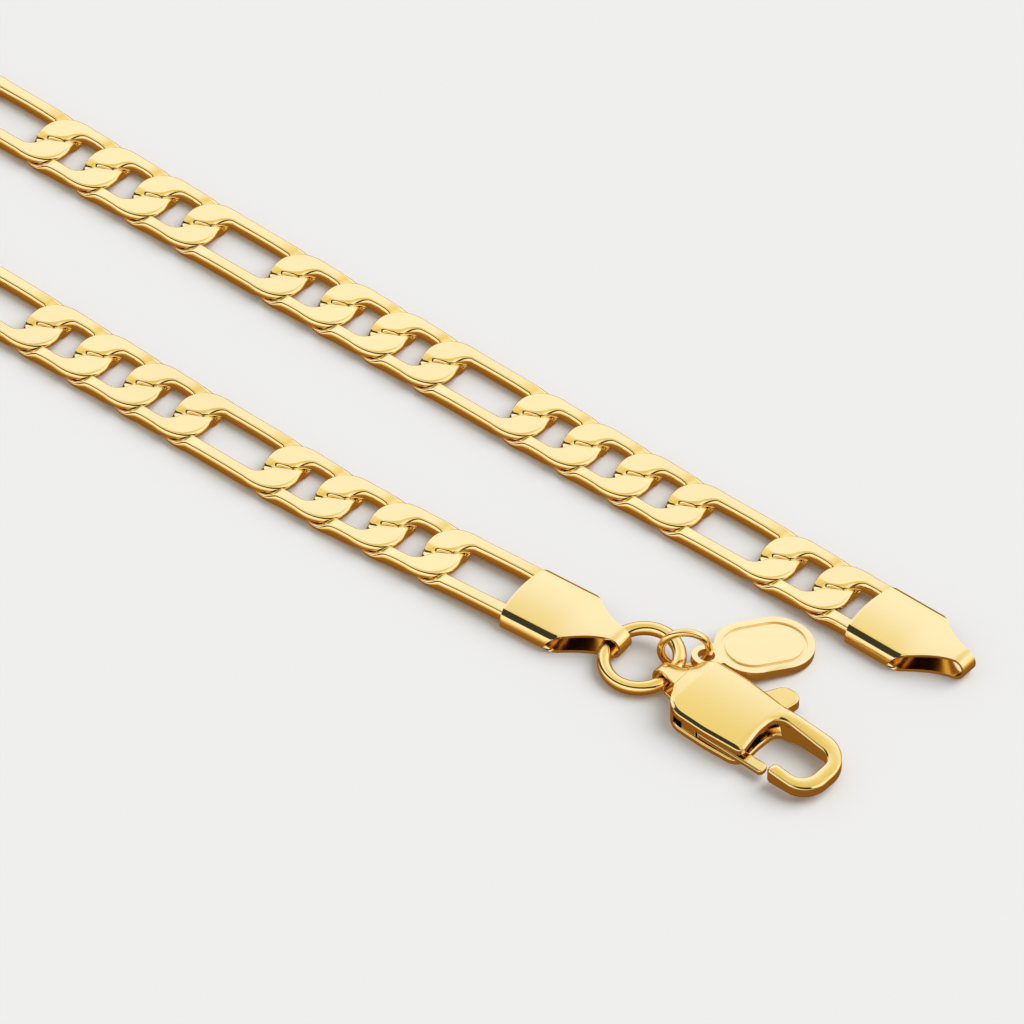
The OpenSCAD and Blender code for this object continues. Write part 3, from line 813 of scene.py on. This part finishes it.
lower_outline = rounded_path(BACK_CORNERS + LOWER_FRONT)
body_parts = [upper_plate(), lower_plate(lower_outline), tail_wall(lower_outline), near_stub(), tail_strap()]
pin_low, pin_high = (np.array(corner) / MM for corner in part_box("clasp_pin"))
clasp_origin = (pin_low + pin_high) / 2 * (1, 1, 0) - turned([(*HINGE, 0)], CLASP_TURN)[0]
for name, body, (points, faces, normals) in (
    ("clasp_body", "necklace", joined(body_parts)),
    ("clasp_gate", "gate", gate()),
):
    placed = (turned(points, CLASP_TURN) + clasp_origin) * MM
    piece = new_object(name + "_form", placed, faces, golds["clasp_gold"])
    piece.data.normals_split_custom_set_from_vertices(turned(normals, CLASP_TURN))
    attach(piece, body)
    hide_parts(name)

# The other solids keep their form, the tag with its edges rounded. Columns: look, rounding.
KEPT_SOLIDS = {
    "large_jump_ring": ("ring_gold", 0),
    "small_jump_ring": ("ring_gold", 0),
    "oval_tag": ("tag_gold", 0.05),
    "clasp_pin": ("clasp_gold", 0),
}
WELD_REACH = 0.001
EDGE_STEPS = 3
EDGE_ANGLE = 28
for name, (look, rounding) in KEPT_SOLIDS.items():
    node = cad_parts[name]
    node.data.materials.clear()
    node.data.materials.append(golds[look])
    weld = node.modifiers.new("weld", "WELD")
    weld.merge_threshold = WELD_REACH * MM
    if rounding:
        bevel = node.modifiers.new("edges", "BEVEL")
        bevel.width = rounding * MM
        bevel.segments = EDGE_STEPS
        bevel.limit_method = "ANGLE"
        bevel.angle_limit = math.radians(EDGE_ANGLE)
        bevel.harden_normals = True

# Floor: a pale matt sheet, which the metal doesn't mirror
PALE = (0.8, 0.8, 0.8)
PAPER_ROUGHNESS = 0.9
FLOOR_SIZE = 6  # metres
bpy.ops.mesh.primitive_plane_add(size=FLOOR_SIZE, location=(0, 0, 0))
floor = bpy.context.object
floor.name = "floor"
paper = bpy.data.materials.new("paper")
paper.use_nodes = True
paper_shader = paper.node_tree.nodes["Principled BSDF"]
paper_shader.inputs["Base Color"].default_value = (*PALE, 1)
paper_shader.inputs["Roughness"].default_value = PAPER_ROUGHNESS
paper_shader.inputs["Specular IOR Level"].default_value = 0
floor.data.materials.append(paper)
floor.visible_glossy = False

# The photograph's view: where the camera looks, from which side, how high, how far and how narrow
VIEW_TARGET = (76.56, 0, 0)
VIEW_AZIMUTH = math.radians(40.13)
VIEW_ELEVATION = math.radians(44)
VIEW_DISTANCE = 585
VIEW_LENS = 320.8
SENSOR_WIDTH = 36
CLIP_NEAR, CLIP_FAR = 0.01, 20  # metres
back = Vector((
    math.sin(VIEW_AZIMUTH) * math.cos(VIEW_ELEVATION),
    -math.cos(VIEW_AZIMUTH) * math.cos(VIEW_ELEVATION),
    math.sin(VIEW_ELEVATION),
))
camera = bpy.data.objects.new("camera", bpy.data.cameras.new("camera"))
bpy.context.scene.collection.objects.link(camera)
camera.location = Vector(VIEW_TARGET) * MM + back * (VIEW_DISTANCE * MM)
camera.rotation_mode = "QUATERNION"
camera.rotation_quaternion = (-back).to_track_quat("-Z", "Y")
camera.data.lens = VIEW_LENS
camera.data.sensor_width = SENSOR_WIDTH
camera.data.clip_start = CLIP_NEAR
camera.data.clip_end = CLIP_FAR
bpy.context.scene.camera = camera

# What the metal mirrors, a soft tent: (height of the direction, colour) from straight down to straight up
TENT = (
    (-1.0, (0.20, 0.09, 0.02)),
    (-0.3, (0.36, 0.18, 0.035)),
    (-0.06, (0.74, 0.52, 0.15)),
    (0.08, (1.00, 0.86, 0.45)),
    (0.3, (1.15, 1.16, 1.00)),
    (0.6, (1.12, 1.21, 1.32)),
    (0.7, (1.04, 1.13, 1.18)),
    (0.84, (0.94, 0.90, 0.50)),
    (1.0, (0.84, 0.73, 0.26)),
)
# A dark slot runs along the tent on the near side, parallel to X.
SLOT_RISE = math.radians(51)
SLOT_CORE = math.sin(math.radians(9))  # half the width of its dark middle
SLOT_EDGE = math.sin(math.radians(13))  # half its whole width
SLOT_SIDE = 0.3  # lean to the near side from which it is at full strength
SLOT_LIGHT = 0.04  # the share of light left in it
DAYLIGHT = 0.63  # what lights the sheet, white
world = bpy.data.worlds.new("tent")
world.use_nodes = True
tree = world.node_tree
direction = tree.nodes.new("ShaderNodeTexCoord").outputs["Generated"]


def leaning(way):
    """How far the direction leans that way, from -1 to 1."""
    dot = tree.nodes.new("ShaderNodeVectorMath")
    dot.operation = "DOT_PRODUCT"
    dot.inputs[1].default_value = way
    tree.links.new(direction, dot.inputs[0])
    return dot.outputs["Value"]


def calculated(operation, *values):
    """What a maths node makes of the values."""
    node = tree.nodes.new("ShaderNodeMath")
    node.operation = operation
    for value, socket in zip(values, node.inputs):
        tree.links.new(value, socket)
    return node.outputs["Value"]


def mapped(value, limits, way="LINEAR"):
    """The value brought from one range to another."""
    node = tree.nodes.new("ShaderNodeMapRange")
    node.interpolation_type = way
    for name, limit in limits.items():
        node.inputs[name].default_value = limit
    tree.links.new(value, node.inputs["Value"])
    return node.outputs["Result"]


split = tree.nodes.new("ShaderNodeSeparateXYZ")
tree.links.new(direction, split.inputs["Vector"])
walls = colour_ramp(tree, [((height + 1) / 2, colour) for height, colour in TENT])
tree.links.new(mapped(split.outputs["Z"], {"From Min": -1}), walls.inputs["Fac"])
out_of_slot = calculated("ABSOLUTE", leaning((0, math.sin(SLOT_RISE), math.cos(SLOT_RISE))))
in_slot = mapped(out_of_slot, {"From Min": SLOT_EDGE, "From Max": SLOT_CORE}, "SMOOTHSTEP")
nearness = leaning((0, -math.cos(SLOT_RISE), math.sin(SLOT_RISE)))
on_near_side = mapped(nearness, {"From Min": 0, "From Max": SLOT_SIDE}, "SMOOTHSTEP")
slot = calculated("MULTIPLY", in_slot, on_near_side)
tent = tree.nodes["Background"]
tree.links.new(walls.outputs["Color"], tent.inputs["Color"])
tree.links.new(mapped(slot, {"To Min": 1, "To Max": SLOT_LIGHT}), tent.inputs["Strength"])
daylight = tree.nodes.new("ShaderNodeBackground")
daylight.inputs["Strength"].default_value = DAYLIGHT
paths = tree.nodes.new("ShaderNodeLightPath")
choose = tree.nodes.new("ShaderNodeMixShader")
tree.links.new(paths.outputs["Is Diffuse Ray"], choose.inputs["Fac"])
tree.links.new(tent.outputs["Background"], choose.inputs[1])
tree.links.new(daylight.outputs["Background"], choose.inputs[2])
tree.links.new(choose.outputs["Shader"], tree.nodes["World Output"].inputs["Surface"])
bpy.context.scene.world = world
bpy.context.scene.view_settings.view_transform = "Standard"

# One broad lamp behind on the right; the shadows fall softly to the lower left.
LAMP_WAY = (0.42, 0.52, 0.75)
LAMP_WIDTH = math.radians(55)
LAMP_STRENGTH = 2.3
lamp = bpy.data.objects.new("lamp", bpy.data.lights.new("lamp", "SUN"))
bpy.context.scene.collection.objects.link(lamp)
lamp.data.angle = LAMP_WIDTH
lamp.data.energy = LAMP_STRENGTH
lamp.rotation_mode = "QUATERNION"
lamp.rotation_quaternion = (-Vector(LAMP_WAY).normalized()).to_track_quat("-Z", "Y")
lamp.visible_glossy = False
